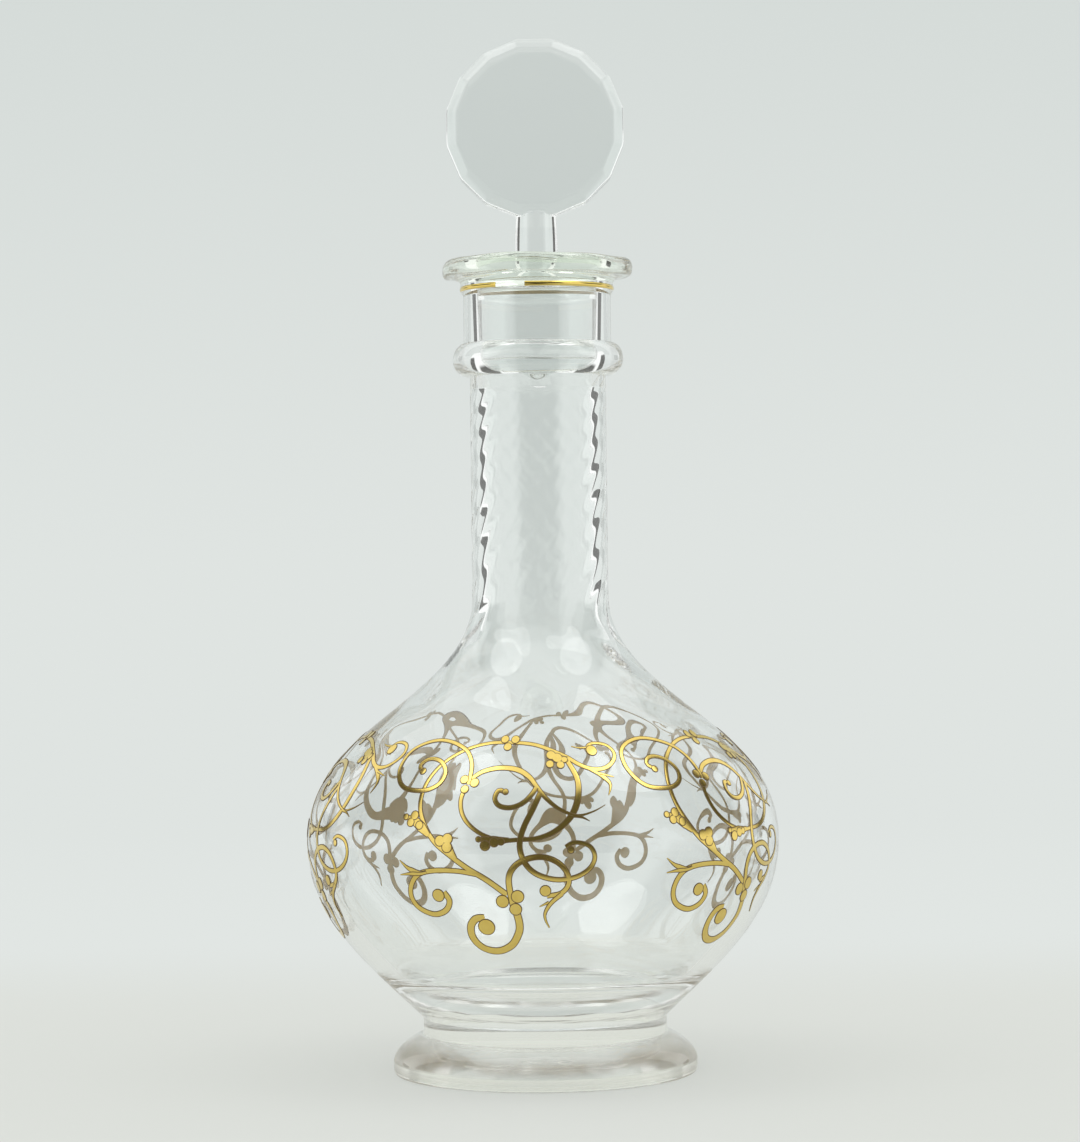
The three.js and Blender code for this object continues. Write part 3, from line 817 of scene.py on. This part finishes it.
upright = Matrix.Rotation(math.radians(90), 4, "X")
bm = bmesh.new()
bmesh.ops.create_cone(
    bm,
    cap_ends=True,
    segments=disc_facets,
    radius1=disc_radius,
    radius2=disc_radius,
    depth=disc_thickness - 2 * disc_bevel_depth,
    matrix=Matrix.Translation((0, 0, disc_middle)) @ upright @ half_facet,
)
bmesh.ops.recalc_face_normals(bm, faces=bm.faces)
for cap in [face for face in bm.faces if len(face.verts) == disc_facets]:
    bmesh.ops.inset_region(bm, faces=[cap], thickness=disc_bevel_width, depth=disc_bevel_depth)
bmesh.ops.bevel(
    bm, geom=bm.edges, offset=cut_edge_round, segments=4, profile=0.5, affect="EDGES", material=-1)
disc = finished("stopper_disc", bm)
join = stopper.modifiers.new("join", "BOOLEAN")
join.operation = "UNION"
join.solver = "EXACT"
join.object = disc
bpy.context.view_layer.update()
joined = stopper.evaluated_get(bpy.context.evaluated_depsgraph_get())
stopper.data = bpy.data.meshes.new_from_object(joined)
stopper.modifiers.clear()
bpy.data.objects.remove(disc)
stopper.data.materials.clear()
stopper.data.materials.append(crystal)
belongs(stopper, "stopper", "stopper_glass", "stopper")

# Floor and backdrop
# One seamless sheet of pale paper, flat under the carafe and swept up behind it.
# It glows at a pale level with painted light, dimmer on the floor and high on the wall than low on the
# wall.
# It takes a soft shadow, and looks unshaded through the foot.
# Reflections see a dark patch painted on the middle of the floor in front: a painted dark reflection.
sheet_half_width = 1.35
sheet_drop = 0.05 * mm
sheet_front = -2.5
sheet_bend = 0.9
sheet_bend_radius = 0.8
sheet_top = 2.6
sheet_wall = sheet_bend + sheet_bend_radius
matte_paper = (0.8, 0.82, 0.8, 1)
# Painted light: the glow of one paper, dimmer on the floor and high on the wall than low on the wall
floor_painted_light = (0.64, 0.66, 0.62, 1)
low_wall_painted_light = (0.68, 0.715, 0.7, 1)
low_wall_height = 0.15
high_wall_painted_shade = (0.6, 0.645, 0.63, 1)
high_wall_height = 0.6
near_floor_end = 0.12
far_floor_start = 0.35
shadow_share = 0.25
# Painted light: seen through glass near the carafe, the glow is raised to the lit paper's level and drops
# its shadow
foot_painted_lift = 1.14
# Painted light: seen in glass, the paper's sides glow brighter than its middle
side_start = 0.42
side_full = 0.6
side_painted_light = 1.2
# A dark patch painted on the middle of the floor in front, seen only in reflections: a painted dark
# reflection
painted_dark_reflection_colour = (0.1, 0.09, 0.08, 1)
painted_dark_start = -0.2
painted_dark_full = -0.34
painted_dark_half_width = 0.13
painted_dark_side = 0.2
sheet_profile = [
    Vector((sheet_front, -sheet_drop)),
    *sweep(
        (sheet_bend, -sheet_drop),
        (sheet_wall, -sheet_drop),
        (sheet_wall, sheet_bend_radius),
        steps=24,
    ),
    Vector((sheet_wall, sheet_top)),
]
bm = bmesh.new()
corners = [bm.verts.new((-sheet_half_width, y, z)) for y, z in sheet_profile]
for start, end in zip(corners, corners[1:]):
    bm.edges.new((start, end))
swept = bmesh.ops.extrude_edge_only(bm, edges=bm.edges[:])["geom"]
far_side = [item for item in swept if isinstance(item, bmesh.types.BMVert)]
bmesh.ops.translate(bm, verts=far_side, vec=(2 * sheet_half_width, 0, 0))
sheet = finished("backdrop", bm, crease=60)
paper = bpy.data.materials.new("pale_paper")
paper.use_nodes = True
nodes = paper.node_tree.nodes
links = paper.node_tree.links
nodes.clear()


def fade(value, start, end, low=0, high=1):
    """A soft step from low to high as value goes from start to end."""
    step = nodes.new("ShaderNodeMapRange")
    step.interpolation_type = "SMOOTHSTEP"
    step.inputs["From Min"].default_value = start
    step.inputs["From Max"].default_value = end
    step.inputs["To Min"].default_value = low
    step.inputs["To Max"].default_value = high
    links.new(value, step.inputs["Value"])
    return step.outputs["Result"]


def combine(operation, first, second):
    """The product, or the larger, of two values."""
    maths = nodes.new("ShaderNodeMath")
    maths.operation = operation
    links.new(first, maths.inputs[0])
    links.new(second, maths.inputs[1])
    return maths.outputs["Value"]


output = nodes.new("ShaderNodeOutputMaterial")
shadowed = nodes.new("ShaderNodeMixShader")
with_painted_dark = nodes.new("ShaderNodeMixShader")
glow = nodes.new("ShaderNodeEmission")
matte = nodes.new("ShaderNodeBsdfDiffuse")
matte.inputs["Color"].default_value = matte_paper
painted_dark_reflection = nodes.new("ShaderNodeEmission")
painted_dark_reflection.inputs["Color"].default_value = painted_dark_reflection_colour
place = nodes.new("ShaderNodeTexCoord")
axes = nodes.new("ShaderNodeSeparateXYZ")
aside = nodes.new("ShaderNodeMath")
aside.operation = "ABSOLUTE"
seen = nodes.new("ShaderNodeLightPath")
# The wall's painted light, brighter low down and dimmer high up
wall_painted_light = nodes.new("ShaderNodeValToRGB")
wall_painted_light.color_ramp.elements[0].position = low_wall_height
wall_painted_light.color_ramp.elements[0].color = low_wall_painted_light
wall_painted_light.color_ramp.elements[1].position = high_wall_height
wall_painted_light.color_ramp.elements[1].color = high_wall_painted_shade
colour = nodes.new("ShaderNodeMix")
colour.data_type = "RGBA"
colour.inputs["A"].default_value = floor_painted_light
links.new(place.outputs["Object"], axes.inputs["Vector"])
links.new(axes.outputs["X"], aside.inputs[0])
links.new(axes.outputs["Z"], wall_painted_light.inputs["Fac"])
links.new(wall_painted_light.outputs["Color"], colour.inputs["B"])
links.new(fade(axes.outputs["Y"], near_floor_end, far_floor_start), colour.inputs["Factor"])
links.new(colour.outputs["Result"], glow.inputs["Color"])

near_floor = fade(axes.outputs["Y"], far_floor_start, near_floor_end)
# Painted light: through glass near the carafe, the paper glows at its lit level with no shadow
through_foot = combine("MULTIPLY", seen.outputs["Is Transmission Ray"], near_floor)
in_glass = fade(seen.outputs["Is Camera Ray"], 1, 0)
# Painted light: seen in glass, the sides of the paper glow brighter
at_side = combine("MULTIPLY", fade(aside.outputs["Value"], side_start, side_full), in_glass)
strength = combine("MULTIPLY", fade(at_side, 0, 1, 1, side_painted_light), fade(through_foot, 0, 1, 1, foot_painted_lift))
links.new(strength, glow.inputs["Strength"])
links.new(fade(through_foot, 0, 1, shadow_share, 0), shadowed.inputs["Fac"])
links.new(glow.outputs["Emission"], shadowed.inputs[1])
links.new(matte.outputs["BSDF"], shadowed.inputs[2])

# Painted dark reflection: the middle of the floor in front shows dark to reflected rays only
painted_dark_ahead = fade(axes.outputs["Y"], painted_dark_start, painted_dark_full)
painted_dark_middle = fade(aside.outputs["Value"], painted_dark_side, painted_dark_half_width)
mirrored = fade(seen.outputs["Glossy Depth"], 0, 1)
painted_dark_reflected = combine("MULTIPLY", combine("MULTIPLY", painted_dark_ahead, painted_dark_middle), mirrored)
links.new(painted_dark_reflected, with_painted_dark.inputs["Fac"])
links.new(shadowed.outputs["Shader"], with_painted_dark.inputs[1])
links.new(painted_dark_reflection.outputs["Emission"], with_painted_dark.inputs[2])
links.new(with_painted_dark.outputs["Shader"], output.inputs["Surface"])
sheet.data.materials.append(paper)

# Light
# Two soft boxes high at the left and right, in a pale room with two dark gaps beside the backdrop.
# The neck's ribs draw these gaps into dark lines, and reflections also see dark walls round the camera.
# Seen straight through the glass, the room in front is as pale as beside it.
target = Vector((0, 0, 0.15))
soft_box_aside = 1
soft_box_front = -0.25
soft_box_height = 1.9
soft_box_size = 1.1
soft_box_power = 5
# Each span: low, high, softness, as a share of a sight line's length along one axis
gap_bearing = (0.61, 0.75, 0.02)
gap_rise = (-0.03, 0.13, 0.03)
side_wall_bearing = (-0.2, 0.42, 0.1)
side_wall_rise = (0.2, 0.8, 0.1)
# Each step: where it starts and where it is full
camera_side_bearing = (-0.72, -0.82)
camera_side_rise = (0.92, 0.8)
front_room_bearing = (0.05, -0.2)
pale_rise = (0.1, 0.5)
low_room = (1.05, 1.06, 1.05, 1)
high_room = (1.15, 1.16, 1.15, 1)
dark_room = (0.1, 0.1, 0.095, 1)
room_in_view = (0.74, 0.78, 0.765, 1)

for name, side in (("left_soft_box", -1), ("right_soft_box", 1)):
    lamp = bpy.data.lights.new(name, "AREA")
    lamp.shape = "DISK"
    lamp.size = soft_box_size
    lamp.energy = soft_box_power
    soft_box = bpy.data.objects.new(name, lamp)
    soft_box.location = (side * soft_box_aside, soft_box_front, soft_box_height)
    soft_box.rotation_euler = (target - soft_box.location).to_track_quat("-Z", "Y").to_euler()
    bpy.context.collection.objects.link(soft_box)

world = bpy.data.worlds.new("pale_room")
world.use_nodes = True
nodes = world.node_tree.nodes
links = world.node_tree.links
direction = nodes.new("ShaderNodeTexCoord")
axes = nodes.new("ShaderNodeSeparateXYZ")
level = nodes.new("ShaderNodeVectorMath")
level.operation = "MULTIPLY"
level.inputs[1].default_value = (1, 1, 0)
heading = nodes.new("ShaderNodeVectorMath")
heading.operation = "NORMALIZE"
bearing = nodes.new("ShaderNodeSeparateXYZ")
links.new(direction.outputs["Generated"], axes.inputs["Vector"])
links.new(direction.outputs["Generated"], level.inputs[0])
links.new(level.outputs["Vector"], heading.inputs[0])
links.new(heading.outputs["Vector"], bearing.inputs["Vector"])


def between(value, low, high, softness):
    """1 where value lies between low and high, with soft ends."""
    return combine("MULTIPLY", fade(value, low - softness, low), fade(value, high + softness, high))


ahead = bearing.outputs["Y"]
rise = axes.outputs["Z"]
paper_gap = combine("MULTIPLY", between(ahead, *gap_bearing), between(rise, *gap_rise))
side_wall = combine("MULTIPLY", between(ahead, *side_wall_bearing), between(rise, *side_wall_rise))
camera_side = combine("MULTIPLY", fade(ahead, *camera_side_bearing), fade(rise, *camera_side_rise))
seen = nodes.new("ShaderNodeLightPath")
mirrored = fade(seen.outputs["Glossy Depth"], 0, 1)
dark_walls = combine("MULTIPLY", combine("MAXIMUM", side_wall, camera_side), mirrored)
clear_view = combine(
    "MULTIPLY",
    fade(seen.outputs["Glossy Depth"], 1, 0),
    fade(seen.outputs["Transmission Depth"], 0, 1),
)
front_room = combine("MULTIPLY", clear_view, fade(ahead, *front_room_bearing))
pale_part = nodes.new("ShaderNodeMix")
pale_part.data_type = "RGBA"
pale_part.inputs["A"].default_value = low_room
pale_part.inputs["B"].default_value = high_room
room = nodes.new("ShaderNodeMix")
room.data_type = "RGBA"
room.inputs["B"].default_value = dark_room
far_wall = nodes.new("ShaderNodeMix")
far_wall.data_type = "RGBA"
far_wall.inputs["B"].default_value = room_in_view
links.new(fade(rise, *pale_rise), pale_part.inputs["Factor"])
links.new(pale_part.outputs["Result"], room.inputs["A"])
links.new(combine("MAXIMUM", paper_gap, dark_walls), room.inputs["Factor"])
links.new(room.outputs["Result"], far_wall.inputs["A"])
links.new(combine("MAXIMUM", seen.outputs["Is Camera Ray"], front_room), far_wall.inputs["Factor"])
links.new(far_wall.outputs["Result"], nodes["Background"].inputs["Color"])
bpy.context.scene.world = world

# Camera
# A long lens about a metre away, level with the bottom of the neck and rolled a little.
# Light passes on many times in thick glass before it leaves, so its paths are let run long.
camera_distance = 0.975
camera_height = 0.1471
camera_roll = math.radians(0.67)
lens_length = 105.5
sensor_width = 36
picture_rows = 1142
shifted_rows = -6
glass_bounces = 96
camera_data = bpy.data.cameras.new("camera")
camera_data.lens = lens_length
camera_data.sensor_width = sensor_width
camera_data.shift_y = shifted_rows / picture_rows
camera = bpy.data.objects.new("camera", camera_data)
camera.location = (0, -camera_distance, camera_height)
camera.rotation_euler = (math.radians(90), camera_roll, 0)
bpy.context.collection.objects.link(camera)
scene = bpy.context.scene
scene.camera = camera
scene.view_settings.view_transform = "Standard"
scene.cycles.max_bounces = glass_bounces
scene.cycles.glossy_bounces = glass_bounces
scene.cycles.transmission_bounces = glass_bounces
